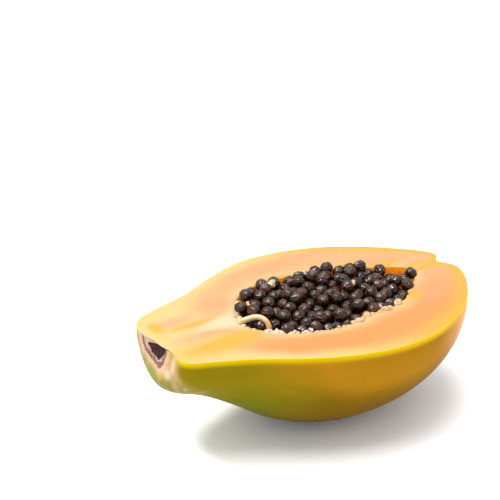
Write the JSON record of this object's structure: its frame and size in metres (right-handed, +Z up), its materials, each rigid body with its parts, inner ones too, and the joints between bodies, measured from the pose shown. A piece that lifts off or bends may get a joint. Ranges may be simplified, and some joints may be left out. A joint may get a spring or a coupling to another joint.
{
  "type": "papaya half",
  "caption": "Ripe papaya cut lengthwise, lying on its belly with the level cut face up and the seed cavity filled with dark round seeds.",
  "frame": {"origin": "under the middle of the fruit's plan, on the plane of the flat spot that it rests on", "axes": "+X runs along the fruit from the stem end to the blossom end; +Z points up, out of the level cut face; -Y is the side that the picture's camera sees"},
  "size_m": [0.178, 0.1182, 0.0718],
  "materials": {
    "flesh_and_skin": "moist orange flesh, waxy yellow-green skin",
    "seed": "wet, finely wrinkled, glossy"
  },
  "bodies": {
    "root": {"papaya_half": "flesh_and_skin", "seeds": "seed"}
  },
  "joints": []
}
